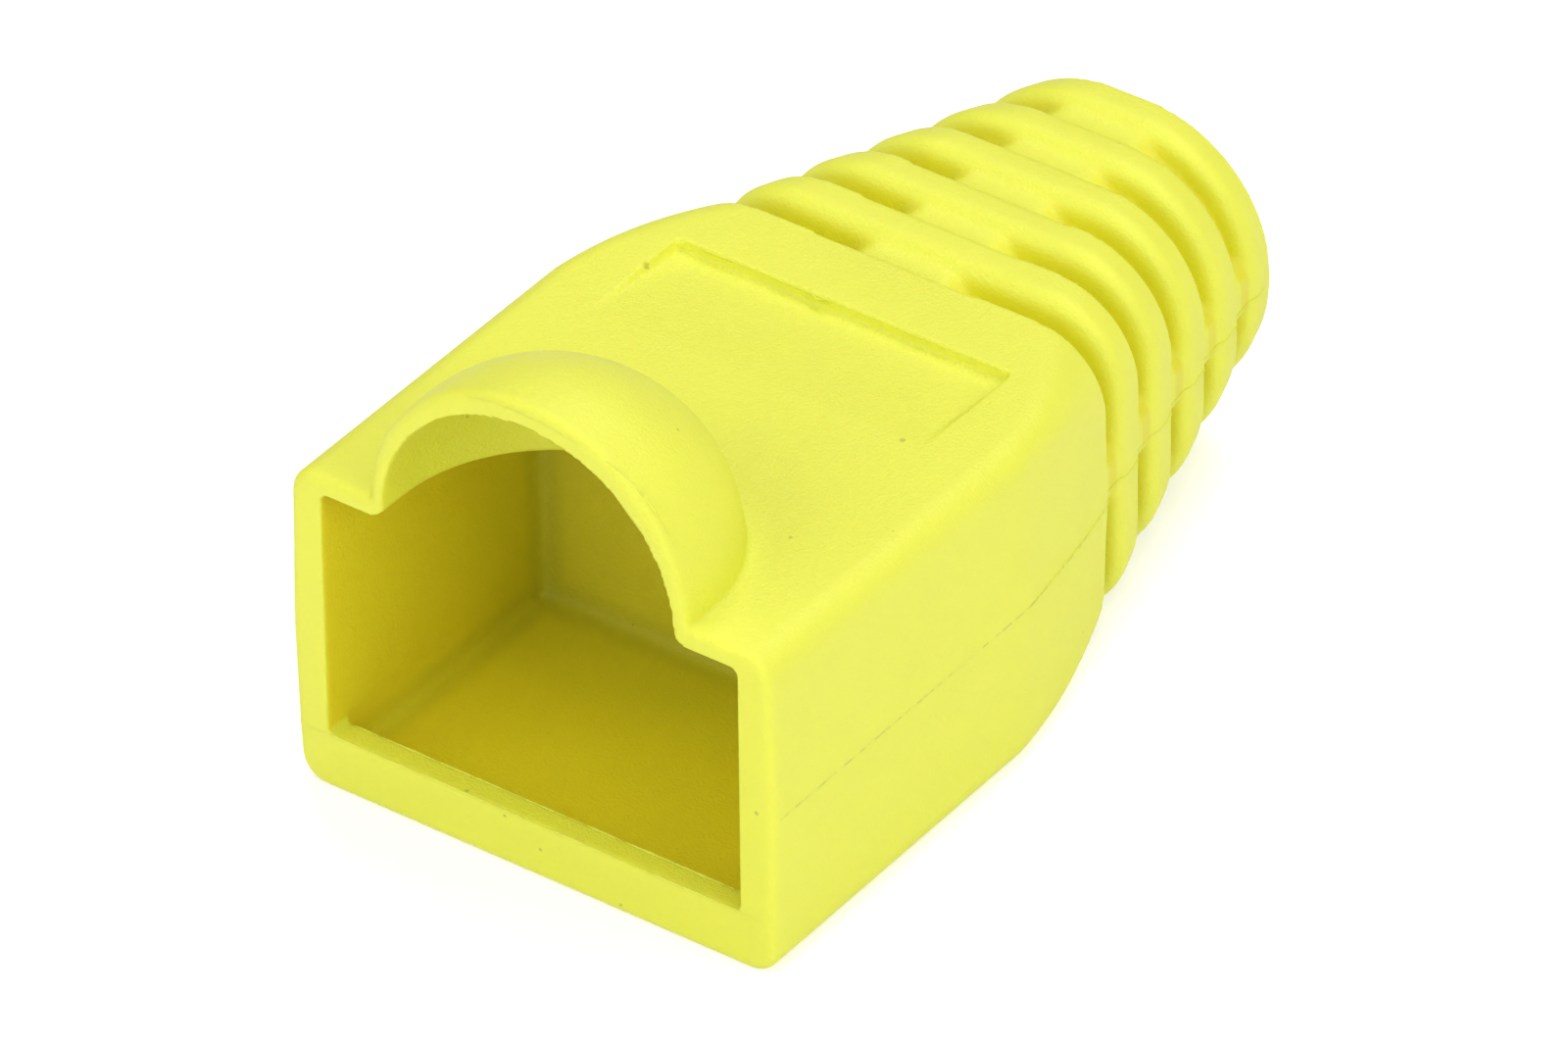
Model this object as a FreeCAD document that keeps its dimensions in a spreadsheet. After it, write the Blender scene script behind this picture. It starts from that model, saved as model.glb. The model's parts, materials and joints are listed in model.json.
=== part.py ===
import FreeCAD, Part
import math
import os
import Sketcher

# Snagless strain relief boot for an RJ45 plug: one soft PVC moulding.
# A box-shaped sleeve slips over the rear of the plug, a domed hood on its top
# guards the plug's latch, and behind the shoulder five slots round a tapering
# tube let the cable bend in a gentle curve.
#
# Frame: +Z up, mouth at -Y, cable end at +Y, the flat underside on Z = 0 and
# the origin under the middle of the moulding.  Every station is a distance
# from the plane of the mouth towards the cable end.  All sizes are in mm.

DIMENSIONS = (
    # sleeve that takes the plug
    ("total_length", "24.3"),
    ("sleeve_half_width", "6.9"),
    ("sleeve_height", "9.0"),
    ("sleeve_corner", "0.7"),
    ("sleeve_length", "10.1"),
    ("side_draft", "0.09"),
    ("parting_height", "4.55"),
    ("front_edge_round", "0.24"),
    ("chin_lean", "0.06"),
    # plug pocket
    ("pocket_half_width", "5.9"),
    ("pocket_floor", "0.62"),
    ("pocket_roof", "0.5"),
    ("pocket_corner", "0.15"),
    ("pocket_depth", "8.4"),
    ("sill_height", "1.625"),
    ("sill_depth", "0.695"),
    # domed latch hood
    ("hood_radius", "4.5"),
    ("hood_sink", "0.05"),
    ("hood_centre", "0.9"),
    ("hood_wall", "0.38"),
    ("hood_rim_round", "0.22"),
    ("hollow_sink", "0.22"),
    ("throat_flare", "0.32"),
    # label recess on the top
    ("recess_half_width", "4.756"),
    ("recess_front", "8.95"),
    ("recess_rear", "12.455"),
    ("recess_depth", "0.3"),
    # shoulder
    ("shoulder_mid", "12.1"),
    ("shoulder_mid_half_width", "6.6"),
    ("shoulder_mid_corner", "0.9"),
    ("neck", "14.57"),
    ("neck_half_width", "6.08"),
    ("neck_roundness", "0.444"),
    # slotted strain relief
    ("slot_width", "0.5"),
    ("slot_depth", "1.0"),
    ("slot_depth_loss", "0.07"),
    ("relief_half_width", "6.0"),
    ("end_half_width", "4.05"),
    ("end_half_height", "3.76"),
    ("end_roundness", "0.95"),
    ("rib_front_round", "0.6"),
    ("web_half_width", "1.15"),
    ("web_drop", "0.26"),
    ("web_flank", "0.5"),
    ("spine_below_parting", "0.25"),
    ("spine_above_parting", "0.65"),
    ("spine_drop", "0.15"),
    ("spine_flank", "0.4"),
    # cable bore
    ("bore_radius", "2.75"),
)
SLOTS = 5
# flat bands that make up the round front of each rib
NOSE_BANDS = 4
# how far a part of the moulding runs into its neighbour, and a cut past a face
OVERLAP = "0.2"
OVERCUT = "1"
SKIN = "0.02"
# how close two levels are when they count as the same
LEVEL_TOLERANCE = 1e-6

doc = FreeCAD.newDocument("rj45_boot")
sheet = doc.addObject("Spreadsheet::Sheet", "dims")
for row, (alias, size) in enumerate(DIMENSIONS, start=1):
    sheet.set(f"A{row}", alias)
    sheet.set(f"B{row}", size)
    sheet.setAlias(f"B{row}", alias)
doc.recompute()

body = doc.addObject("PartDesign::Body", "Boot")
body.Label = "boot"


def origin_plane(role):
    """The origin plane of the body with this role."""
    return next(item for item in body.Origin.OriginFeatures if item.Role == role)


def full(text):
    """An expression with each [alias] written as the sheet's own cell."""
    return text.replace("[", "dims.").replace("]", "")


def size_of(text):
    """The present size of an expression on the sheet."""
    return float(sheet.evalExpression(full(text)))


def add_named(sketch, name, constraint, expression):
    """Add a driving constraint and bind it to an expression on the sheet."""
    index = sketch.addConstraint(constraint)
    sketch.renameConstraint(index, name)
    sketch.setExpression(f"Constraints.{name}", full(expression))


def cross_sketch(name, station):
    """An empty sketch across the moulding, parallel to the mouth, at a station."""
    sketch = body.newObject("Sketcher::SketchObject", name)
    sketch.AttachmentSupport = [(origin_plane("XZ_Plane"), "")]
    sketch.MapMode = "FlatFace"
    # the local normal of the XZ plane points to -Y
    sketch.setExpression("AttachmentOffset.Base.z", full(f"[total_length] / 2 - ({station})"))
    return sketch


def side_sketch(name):
    """An empty sketch on the plane of symmetry: local x is +Y, local y is +Z."""
    sketch = body.newObject("Sketcher::SketchObject", name)
    sketch.AttachmentSupport = [(origin_plane("YZ_Plane"), "")]
    sketch.MapMode = "FlatFace"
    return sketch


def vector(x, y):
    """A point of a sketch."""
    return FreeCAD.Vector(x, y, 0)


def line(sketch, start, end):
    """Add a line and return its index."""
    return sketch.addGeometry(Part.LineSegment(vector(*start), vector(*end)), False)


def corner_arc(sketch, centre, radius, quarter):
    """Add a quarter arc, counter-clockwise, that starts at quarter * 90 degrees."""
    right_angle = math.pi / 2
    circle = Part.Circle(vector(*centre), FreeCAD.Vector(0, 0, 1), radius)
    start = quarter * right_angle
    return sketch.addGeometry(Part.ArcOfCircle(circle, start, start + right_angle), False)


def rounded_section(name, station, half_width, low, high, corner):
    """A rounded rectangle across the moulding, symmetrical about its middle."""
    sketch = cross_sketch(name, station)
    w, lo, hi, r = (size_of(text) for text in (half_width, low, high, corner))
    bottom = line(sketch, (-w + r, lo), (w - r, lo))
    arc_br = corner_arc(sketch, (w - r, lo + r), r, 3)
    right = line(sketch, (w, lo + r), (w, hi - r))
    arc_tr = corner_arc(sketch, (w - r, hi - r), r, 0)
    top = line(sketch, (w - r, hi), (-w + r, hi))
    arc_tl = corner_arc(sketch, (-w + r, hi - r), r, 1)
    left = line(sketch, (-w, hi - r), (-w, lo + r))
    arc_bl = corner_arc(sketch, (-w + r, lo + r), r, 2)
    ring = (bottom, arc_br, right, arc_tr, top, arc_tl, left, arc_bl)
    for here, after in zip(ring, ring[1:] + ring[:1]):
        sketch.addConstraint(Sketcher.Constraint("Tangent", here, 2, after, 1))
    sketch.addConstraint(Sketcher.Constraint("Symmetric", bottom, 1, bottom, 2, -2))
    sketch.addConstraint(Sketcher.Constraint("Horizontal", top))
    sketch.addConstraint(Sketcher.Constraint("Vertical", left))
    sketch.addConstraint(Sketcher.Constraint("Vertical", right))
    for arc in (arc_tr, arc_tl, arc_bl):
        sketch.addConstraint(Sketcher.Constraint("Equal", arc_br, arc))
    add_named(sketch, "corner", Sketcher.Constraint("Radius", arc_br, r), corner)
    add_named(sketch, "half_width", Sketcher.Constraint("DistanceX", -1, 1, right, 1, w), half_width)
    add_named(sketch, "low", Sketcher.Constraint("DistanceY", -1, 1, bottom, 1, lo), low)
    add_named(sketch, "high", Sketcher.Constraint("DistanceY", -1, 1, top, 1, hi), high)
    return sketch


def drafted_section(name, station, half_width, corner):
    """The sleeve's section: both sides lean in from the parting line by the draft."""
    sketch = cross_sketch(name, station)
    w, r = size_of(half_width), size_of(corner)
    hi, part, draft = (size_of(text) for text in
                       ("[sleeve_height]", "[parting_height]", "[side_draft]"))
    x = w - draft
    bottom = line(sketch, (-x + r, 0), (x - r, 0))
    arc_br = corner_arc(sketch, (x - r, r), r, 3)
    right_low = line(sketch, (x, r), (w, part))
    right_high = line(sketch, (w, part), (x, hi - r))
    arc_tr = corner_arc(sketch, (x - r, hi - r), r, 0)
    top = line(sketch, (x - r, hi), (-x + r, hi))
    arc_tl = corner_arc(sketch, (-x + r, hi - r), r, 1)
    left_high = line(sketch, (-x, hi - r), (-w, part))
    left_low = line(sketch, (-w, part), (-x, r))
    arc_bl = corner_arc(sketch, (-x + r, r), r, 2)
    for here, after in ((bottom, arc_br), (arc_br, right_low), (right_high, arc_tr),
                        (arc_tr, top), (top, arc_tl), (arc_tl, left_high),
                        (left_low, arc_bl), (arc_bl, bottom)):
        sketch.addConstraint(Sketcher.Constraint("Tangent", here, 2, after, 1))
    for here, after in ((right_low, right_high), (left_high, left_low)):
        sketch.addConstraint(Sketcher.Constraint("Coincident", here, 2, after, 1))
    sketch.addConstraint(Sketcher.Constraint("Symmetric", bottom, 1, bottom, 2, -2))
    sketch.addConstraint(Sketcher.Constraint("Symmetric", left_low, 1, right_low, 2, -2))
    sketch.addConstraint(Sketcher.Constraint("Horizontal", top))
    sketch.addConstraint(Sketcher.Constraint("PointOnObject", bottom, 1, -1))
    for arc in (arc_tr, arc_tl, arc_bl):
        sketch.addConstraint(Sketcher.Constraint("Equal", arc_br, arc))
    add_named(sketch, "corner", Sketcher.Constraint("Radius", arc_br, r), corner)
    add_named(sketch, "half_width",
              Sketcher.Constraint("DistanceX", -1, 1, right_low, 2, w), half_width)
    add_named(sketch, "parting",
              Sketcher.Constraint("DistanceY", -1, 1, right_low, 2, part), "[parting_height]")
    add_named(sketch, "high", Sketcher.Constraint("DistanceY", -1, 1, top, 1, hi), "[sleeve_height]")
    add_named(sketch, "draft_low",
              Sketcher.Constraint("DistanceX", right_low, 1, right_low, 2, draft), "[side_draft]")
    return sketch


def mouth_rim():
    """Names of the edges round the front of the sleeve, without the crease over the chin."""
    front = size_of("-[total_length] / 2")
    deepest = front + size_of("[chin_lean]") + LEVEL_TOLERANCE
    crease = size_of("[sill_height]")
    names = []
    for number, edge in enumerate(body.Shape.Edges, start=1):
        box = edge.BoundBox
        level = abs(box.ZMin - crease) < LEVEL_TOLERANCE and abs(box.ZMax - crease) < LEVEL_TOLERANCE
        if box.YMax < deepest and not level:
            names.append(f"Edge{number}")
    return names


def fillet(name, edges, radius):
    """Round the named edges of the body's present tip."""
    tip = body.Tip
    feature = body.newObject("PartDesign::Fillet", name)
    feature.Base = (tip, edges)
    feature.setExpression("Radius", full(radius))
    doc.recompute()
    return feature


def polygon(sketch, points):
    """Close a polygon; each point is (name, x expression, y expression)."""
    places = [(size_of(x), size_of(y)) for _, x, y in points]
    sides = [line(sketch, here, after) for here, after in zip(places, places[1:] + places[:1])]
    for here, after in zip(sides, sides[1:] + sides[:1]):
        sketch.addConstraint(Sketcher.Constraint("Coincident", here, 2, after, 1))
    for side, (name, x, y), (px, py) in zip(sides, points, places):
        add_named(sketch, f"{name}_x", Sketcher.Constraint("DistanceX", -1, 1, side, 1, px), x)
        add_named(sketch, f"{name}_y", Sketcher.Constraint("DistanceY", -1, 1, side, 1, py), y)
    return sketch


def swept(kind, name, sketch, length=None, midplane=False, reverse=False):
    """A Pad or Pocket of the sketch; a Pocket with no length goes right through."""
    feature = body.newObject(f"PartDesign::{kind}", name)
    feature.Profile = sketch
    if length is None:
        feature.Type = "ThroughAll"
    else:
        feature.setExpression("Length", full(length))
    feature.Midplane = midplane
    feature.Reversed = reverse
    sketch.Visibility = False
    doc.recompute()
    return feature


def loft(kind, name, sections, ruled=False):
    """Loft through the sections, as an AdditiveLoft or a SubtractiveLoft."""
    feature = body.newObject(f"PartDesign::{kind}", name)
    feature.Profile = sections[0]
    feature.Sections = sections[1:]
    feature.Ruled = ruled
    for section in sections:
        section.Visibility = False
    doc.recompute()
    return feature


# --- sleeve and shoulder -------------------------------------------------
swept("Pad", "Sleeve", drafted_section("SleeveFront", "0", "[sleeve_half_width]", "[sleeve_corner]"),
      "[sleeve_length]", reverse=True)
# the chin is the front face under the sill, which leans back towards the underside
chin = polygon(side_sketch("ChinWedge"), [
    ("crease", "-[total_length] / 2", "[sill_height]"),
    ("foot", "[chin_lean] - [total_length] / 2", "0"),
    ("toe", "-[total_length] / 2", "0"),
])
swept("Pocket", "Chin", chin, f"2 * ([sleeve_half_width] + {OVERCUT})", midplane=True)
fillet("FrontEdge", mouth_rim(), "[front_edge_round]")
loft("AdditiveLoft", "Shoulder", [
    drafted_section("ShoulderFront", "[sleeve_length]", "[sleeve_half_width]", "[sleeve_corner]"),
    drafted_section("ShoulderMiddle", "[shoulder_mid]", "[shoulder_mid_half_width]",
                    "[shoulder_mid_corner]"),
    drafted_section("ShoulderRear", "[neck]", "[neck_half_width]",
                    "[neck_roundness] * [sleeve_height] / 2"),
])


# --- slotted strain relief -----------------------------------------------
def along_relief(station, at_neck, at_end):
    """A size that changes evenly along the relief, from the neck to the cable end."""
    return f"({at_neck} + ({at_end} - {at_neck}) * (({station}) - [neck]) / ([total_length] - [neck]))"


def relief_side(station):
    """Half the relief's width over the ribs."""
    return along_relief(station, "[relief_half_width]", "[end_half_width]")


def relief_rise(station):
    """Half the relief's height over the ribs."""
    return along_relief(station, "[sleeve_height] / 2", "[end_half_height]")


def relief_section(name, station, inset):
    """The relief's tapering section at a station, drawn in all round by an inset."""
    roundness = along_relief(station, "[neck_roundness]", "[end_roundness]")
    return rounded_section(
        name, station,
        f"{relief_side(station)} - {inset}",
        f"[sleeve_height] / 2 - {relief_rise(station)} + {inset}",
        f"[sleeve_height] / 2 + {relief_rise(station)} - {inset}",
        f"({relief_rise(station)} - {inset}) * {roundness}")


def slot_depth(index):
    """Depth of a slot, which falls towards the cable end."""
    return f"([slot_depth] - [slot_depth_loss] * {index})"


def slot_front(index):
    """Station of a slot's front wall."""
    return f"([neck] + ([total_length] - [neck]) * {index} / {SLOTS})"


def quarter_round(bands):
    """A quarter circle of radius 1 in flat bands: (way back from its front, inset) at each edge."""
    angles = [math.pi / 2 * band / bands for band in range(bands + 1)]
    return [(round(1 - math.cos(angle), 6), round(1 - math.sin(angle), 6)) for angle in angles]


RELIEF_FRONT = f"([neck] - {OVERLAP})"
RELIEF_REAR = "([total_length] - [rib_front_round])"

loft("AdditiveLoft", "Core", [
    relief_section("CoreFront", RELIEF_FRONT, slot_depth(0)),
    relief_section("CoreRear", RELIEF_REAR, slot_depth(SLOTS)),
], ruled=True)

for index in range(SLOTS):
    front = f"({slot_front(index)} + [slot_width])"
    nose = [relief_section(f"Rib{index + 1}Nose{step}", f"{front} + [rib_front_round] * {along}",
                           f"[rib_front_round] * {inset}")
            for step, (along, inset) in enumerate(quarter_round(NOSE_BANDS))]
    loft("AdditiveLoft", f"Rib{index + 1}Nose", nose, ruled=True)
    loft("AdditiveLoft", f"Rib{index + 1}", [
        relief_section(f"Rib{index + 1}Front", f"{front} + [rib_front_round]", "0"),
        relief_section(f"Rib{index + 1}Rear", slot_front(index + 1), "0"),
    ], ruled=True)



def bridges(name, half_width, drop, flank):
    """Webs over the slots at the top and at the bottom, with flanks that slope at 45 degrees."""
    foot = f"({half_width} + {flank})"
    sections = []
    for end, station in (("Front", RELIEF_FRONT), ("Rear", RELIEF_REAR)):
        rise = f"({relief_rise(station)} - {drop})"
        low = f"([sleeve_height] / 2 - {rise})"
        high = f"([sleeve_height] / 2 + {rise})"
        sections.append(polygon(cross_sketch(f"{name}{end}", station), [
            ("low_right", half_width, low),
            ("low_right_foot", foot, f"{low} + {flank}"),
            ("high_right_foot", foot, f"{high} - {flank}"),
            ("high_right", half_width, high),
            ("high_left", f"-{half_width}", high),
            ("high_left_foot", f"-{foot}", f"{high} - {flank}"),
            ("low_left_foot", f"-{foot}", f"{low} + {flank}"),
            ("low_left", f"-{half_width}", low),
        ]))
    loft("AdditiveLoft", name, sections, ruled=True)


def spines(name, low, high, drop, flank):
    """Spines over the slots along both sides, with flanks that slope at 45 degrees."""
    sections = []
    for end, station in (("Front", RELIEF_FRONT), ("Rear", RELIEF_REAR)):
        crest = f"({relief_side(station)} - {drop})"
        foot = f"({crest} - {flank})"
        sections.append(polygon(cross_sketch(f"{name}{end}", station), [
            ("right_low_foot", foot, f"{low} - {flank}"),
            ("right_low", crest, low),
            ("right_high", crest, high),
            ("right_high_foot", foot, f"{high} + {flank}"),
            ("left_high_foot", f"-{foot}", f"{high} + {flank}"),
            ("left_high", f"-{crest}", high),
            ("left_low", f"-{crest}", low),
            ("left_low_foot", f"-{foot}", f"{low} - {flank}"),
        ]))
    loft("AdditiveLoft", name, sections, ruled=True)


# shallow webs bridge the slots at the middle of the top and of the bottom
bridges("Webs", "[web_half_width]", "[web_drop]", "[web_flank]")
# a spine along each side carries the parting line and ties the ribs together
spines("Spines", "([parting_height] - [spine_below_parting])",
       "([parting_height] + [spine_above_parting])", "[spine_drop]", "[spine_flank]")

# --- latch hood ------------------------------------------------------------
def dome_profile(name, radius, start, axis_height, rim_round=None):
    """The hood's outline above its axis: a straight rim that ends in a quarter circle.

    The sketch's own horizontal axis is the hood's axis, and its origin lies over
    the middle of the quarter circle.  The rim's corner is rounded where a
    rim_round is given.
    """
    sketch = side_sketch(name)
    sketch.setExpression("AttachmentOffset.Base.x", full("[hood_centre] - [total_length] / 2"))
    sketch.setExpression("AttachmentOffset.Base.y", full(axis_height))
    r, begin = size_of(radius), size_of(start)
    soft = size_of(rim_round) if rim_round else 0.0
    base = line(sketch, (r, 0), (begin, 0))
    rise = line(sketch, (begin, 0), (begin, r - soft))
    roof = line(sketch, (begin + soft, r), (0, r))
    back = corner_arc(sketch, (0, 0), r, 0)
    sketch.addConstraint(Sketcher.Constraint("Coincident", base, 2, rise, 1))
    if rim_round:
        corner = corner_arc(sketch, (begin + soft, r - soft), soft, 1)
        sketch.addConstraint(Sketcher.Constraint("Tangent", rise, 2, corner, 2))
        sketch.addConstraint(Sketcher.Constraint("Tangent", corner, 1, roof, 1))
        add_named(sketch, "rim_round", Sketcher.Constraint("Radius", corner, soft), rim_round)
    else:
        sketch.addConstraint(Sketcher.Constraint("Coincident", rise, 2, roof, 1))
    sketch.addConstraint(Sketcher.Constraint("Tangent", roof, 2, back, 2))
    sketch.addConstraint(Sketcher.Constraint("Coincident", back, 1, base, 1))
    sketch.addConstraint(Sketcher.Constraint("Coincident", back, 3, -1, 1))
    sketch.addConstraint(Sketcher.Constraint("PointOnObject", base, 1, -1))
    sketch.addConstraint(Sketcher.Constraint("PointOnObject", base, 2, -1))
    sketch.addConstraint(Sketcher.Constraint("Vertical", rise))
    sketch.addConstraint(Sketcher.Constraint("Horizontal", roof))
    add_named(sketch, "radius", Sketcher.Constraint("Radius", back, r), radius)
    add_named(sketch, "start", Sketcher.Constraint("DistanceX", -1, 1, base, 2, begin), start)
    return sketch


def half_turn(kind, name, sketch):
    """Turn the sketch by a quarter to each side about its own horizontal axis."""
    feature = body.newObject(f"PartDesign::{kind}", name)
    feature.Profile = sketch
    feature.ReferenceAxis = (sketch, ["H_Axis"])
    feature.Angle = 180
    feature.Midplane = True
    sketch.Visibility = False
    doc.recompute()
    return feature


HOOD_AXIS = "([sleeve_height] - [hood_sink])"
half_turn("Revolution", "Hood", dome_profile("HoodProfile", "[hood_radius]", "-[hood_centre]",
                                             HOOD_AXIS, "[hood_rim_round]"))

# --- hollows -----------------------------------------------------------------
HOLLOW_RADIUS = "([hood_radius] - [hood_wall])"
HOLLOW_AXIS = f"({HOOD_AXIS} - [hollow_sink])"
POCKET_CEILING = "([sleeve_height] - [pocket_roof])"
THROAT_START = f"-[total_length] / 2 - {OVERCUT}"
mouth = rounded_section("Mouth", "0", "[pocket_half_width]", "[sill_height]",
                        POCKET_CEILING, "[pocket_corner]")
swept("Pocket", "MouthCut", mouth, "[sill_depth] + [pocket_corner]")
pocket = rounded_section("PocketSection", "[sill_depth]", "[pocket_half_width]", "[pocket_floor]",
                         POCKET_CEILING, "[pocket_corner]")
swept("Pocket", "PlugPocket", pocket, "[pocket_depth] - [sill_depth]")
half_turn("Groove", "HoodHollow", dome_profile("HollowProfile", HOLLOW_RADIUS,
                                               f"-[hood_centre] - {OVERCUT}", HOLLOW_AXIS))


def throat_plan(name, height, radius):
    """Plan of the way from the pocket up into the hood: straight sides and a round back."""
    sketch = body.newObject("Sketcher::SketchObject", name)
    sketch.AttachmentSupport = [(origin_plane("XY_Plane"), "")]
    sketch.MapMode = "FlatFace"
    sketch.setExpression("AttachmentOffset.Base.z", full(height))
    r = size_of(radius)
    middle = size_of("[hood_centre] - [total_length] / 2")
    begin = size_of(THROAT_START)
    front = line(sketch, (-r, begin), (r, begin))
    right = line(sketch, (r, begin), (r, middle))
    circle = Part.Circle(vector(0, middle), FreeCAD.Vector(0, 0, 1), r)
    back = sketch.addGeometry(Part.ArcOfCircle(circle, 0, math.pi), False)
    left = line(sketch, (-r, middle), (-r, begin))
    sketch.addConstraint(Sketcher.Constraint("Coincident", front, 2, right, 1))
    sketch.addConstraint(Sketcher.Constraint("Tangent", right, 2, back, 1))
    sketch.addConstraint(Sketcher.Constraint("Tangent", back, 2, left, 1))
    sketch.addConstraint(Sketcher.Constraint("Coincident", left, 2, front, 1))
    sketch.addConstraint(Sketcher.Constraint("Vertical", right))
    sketch.addConstraint(Sketcher.Constraint("Horizontal", front))
    sketch.addConstraint(Sketcher.Constraint("PointOnObject", back, 3, -2))
    add_named(sketch, "radius", Sketcher.Constraint("Radius", back, r), radius)
    add_named(sketch, "middle", Sketcher.Constraint("DistanceY", -1, 1, back, 3, middle),
              "[hood_centre] - [total_length] / 2")
    add_named(sketch, "start", Sketcher.Constraint("DistanceY", -1, 1, front, 1, begin),
              THROAT_START)
    return sketch


loft("SubtractiveLoft", "Throat", [
    throat_plan("ThroatTop", HOLLOW_AXIS, HOLLOW_RADIUS),
    throat_plan("ThroatFoot", f"{POCKET_CEILING} - {SKIN}", f"{HOLLOW_RADIUS} + [throat_flare]"),
], ruled=True)

bore = cross_sketch("BoreCircle", f"[pocket_depth] - {OVERLAP}")
bore_edge = bore.addGeometry(Part.Circle(vector(0, size_of("[sleeve_height] / 2")),
                                         FreeCAD.Vector(0, 0, 1), size_of("[bore_radius]")), False)
bore.addConstraint(Sketcher.Constraint("PointOnObject", bore_edge, 3, -2))
add_named(bore, "radius", Sketcher.Constraint("Radius", bore_edge, size_of("[bore_radius]")),
          "[bore_radius]")
add_named(bore, "height", Sketcher.Constraint("DistanceY", -1, 1, bore_edge, 3,
                                              size_of("[sleeve_height] / 2")), "[sleeve_height] / 2")
swept("Pocket", "CableBore", bore)

# --- bare label recess on the top ----------------------------------------------
recess = polygon(side_sketch("RecessWedge"), [
    ("front", "[recess_front] - [total_length] / 2", "[sleeve_height]"),
    ("rear", "[recess_rear] - [total_length] / 2", "[sleeve_height] - [recess_depth]"),
    ("brim", "[recess_rear] - [total_length] / 2", "[sleeve_height]"),
])
swept("Pocket", "LabelRecess", recess, "2 * [recess_half_width]", midplane=True)

# --- checks and export ------------------------------------------------------------
doc.recompute()
for item in doc.Objects:
    if {"Invalid", "Error"} & set(item.State):
        raise RuntimeError(f"{item.Name}: {item.State}")
if body.Shape.isNull() or not body.Shape.isValid():
    raise RuntimeError("the boot's solid is not valid")
print(body.Shape.BoundBox, body.Shape.Volume, len(body.Shape.Solids))
os.makedirs("parts", exist_ok=True)
body.Shape.exportStep("parts/boot.step")
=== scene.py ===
"""Studio picture of a yellow strain relief boot for a modular plug.

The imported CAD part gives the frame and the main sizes.  The visible moulding is
a copy of its one node with the softened edges of a real injection moulding in
flexible PVC, and fine beads of flash where the halves and inserts of its mould
met.
"""

import json
import logging
import math
from dataclasses import dataclass, field
from enum import Enum
from typing import Any, Dict, List, Optional, Sequence, Tuple

import bpy
import numpy as np
from mathutils import Matrix, Vector, noise
from mathutils.bvhtree import BVHTree

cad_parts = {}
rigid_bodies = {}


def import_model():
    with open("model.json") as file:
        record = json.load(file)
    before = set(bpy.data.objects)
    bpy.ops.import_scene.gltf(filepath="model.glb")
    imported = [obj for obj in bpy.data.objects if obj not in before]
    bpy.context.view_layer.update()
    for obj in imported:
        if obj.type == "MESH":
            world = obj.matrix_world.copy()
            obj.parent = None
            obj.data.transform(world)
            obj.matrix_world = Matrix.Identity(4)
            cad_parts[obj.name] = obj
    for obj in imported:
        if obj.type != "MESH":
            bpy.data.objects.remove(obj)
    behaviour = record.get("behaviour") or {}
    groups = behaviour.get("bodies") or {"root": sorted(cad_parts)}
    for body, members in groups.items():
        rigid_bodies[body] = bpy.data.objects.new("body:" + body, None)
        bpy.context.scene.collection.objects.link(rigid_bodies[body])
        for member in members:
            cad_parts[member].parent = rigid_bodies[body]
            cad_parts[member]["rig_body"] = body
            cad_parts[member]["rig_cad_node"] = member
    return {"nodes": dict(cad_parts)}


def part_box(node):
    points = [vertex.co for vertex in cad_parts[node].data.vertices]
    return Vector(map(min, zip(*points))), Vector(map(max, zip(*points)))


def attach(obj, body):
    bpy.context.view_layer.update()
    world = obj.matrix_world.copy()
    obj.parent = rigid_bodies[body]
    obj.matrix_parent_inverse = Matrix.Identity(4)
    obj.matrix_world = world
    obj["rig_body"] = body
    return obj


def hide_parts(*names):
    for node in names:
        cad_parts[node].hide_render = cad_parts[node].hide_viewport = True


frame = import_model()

LOG = logging.getLogger("boot_scene")
MM = 0.001
NODE = "boot"
BODY = "root"
# points closer than these are one point: on the CAD mesh, and on a fine bead
MERGE_M = 1e-6
BEAD_MERGE_M = 1e-7
SOFT_WHITE = (0.79, 0.79, 0.79)
# the boxes over the top are a little cooler, as a window's light is
COOL_WHITE = (0.81, 0.80, 1.02)
Colour = Tuple[float, float, float, float]
Point = Tuple[float, float, float]
# inputs and output of a colour Mix node
MIX_A, MIX_B, MIX_RESULT = 6, 7, 2


class Side(Enum):
    """The two sides of the moulding, as the sign of X."""

    RIGHT = 1
    LEFT = -1


def linear(hex_colour: str) -> Colour:
    """Turn an sRGB hex colour into linear RGBA.

    Args:
        hex_colour: Six hex digits, such as "f4f461".

    Returns:
        The colour as linear red, green, blue and alpha.
    """
    channels = [int(hex_colour[i:i + 2], 16) / 255.0 for i in (0, 2, 4)]
    straight = [c / 12.92 if c <= 0.04045 else ((c + 0.055) / 1.055) ** 2.4 for c in channels]
    return (straight[0], straight[1], straight[2], 1.0)


def add_node(tree: bpy.types.NodeTree, kind: str, settings: Optional[Dict[str, Any]] = None,
             links: Optional[Dict[Any, Any]] = None) -> bpy.types.Node:
    """Add a shader node, set its properties or sockets, and link its inputs.

    Args:
        tree: The material's or world's node tree.
        kind: The node's type name.
        settings: Property names or input socket names with their values.
        links: Input socket names or indices with the output sockets that feed them.

    Returns:
        The new node.
    """
    made = tree.nodes.new(kind)
    for name, value in (settings or {}).items():
        if hasattr(made, str(name)):
            setattr(made, name, value)
        else:
            made.inputs[name].default_value = value
    for name, source in (links or {}).items():
        tree.links.new(source, made.inputs[name])
    return made


def object_mode_only(obj: bpy.types.Object) -> None:
    """Deselect everything, then select this object and make it the active one.

    Args:
        obj: The object that the next operators work on.
    """
    if bpy.context.mode != "OBJECT":
        bpy.ops.object.mode_set(mode="OBJECT")
    bpy.ops.object.select_all(action="DESELECT")
    obj.select_set(True)
    bpy.context.view_layer.objects.active = obj


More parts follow.
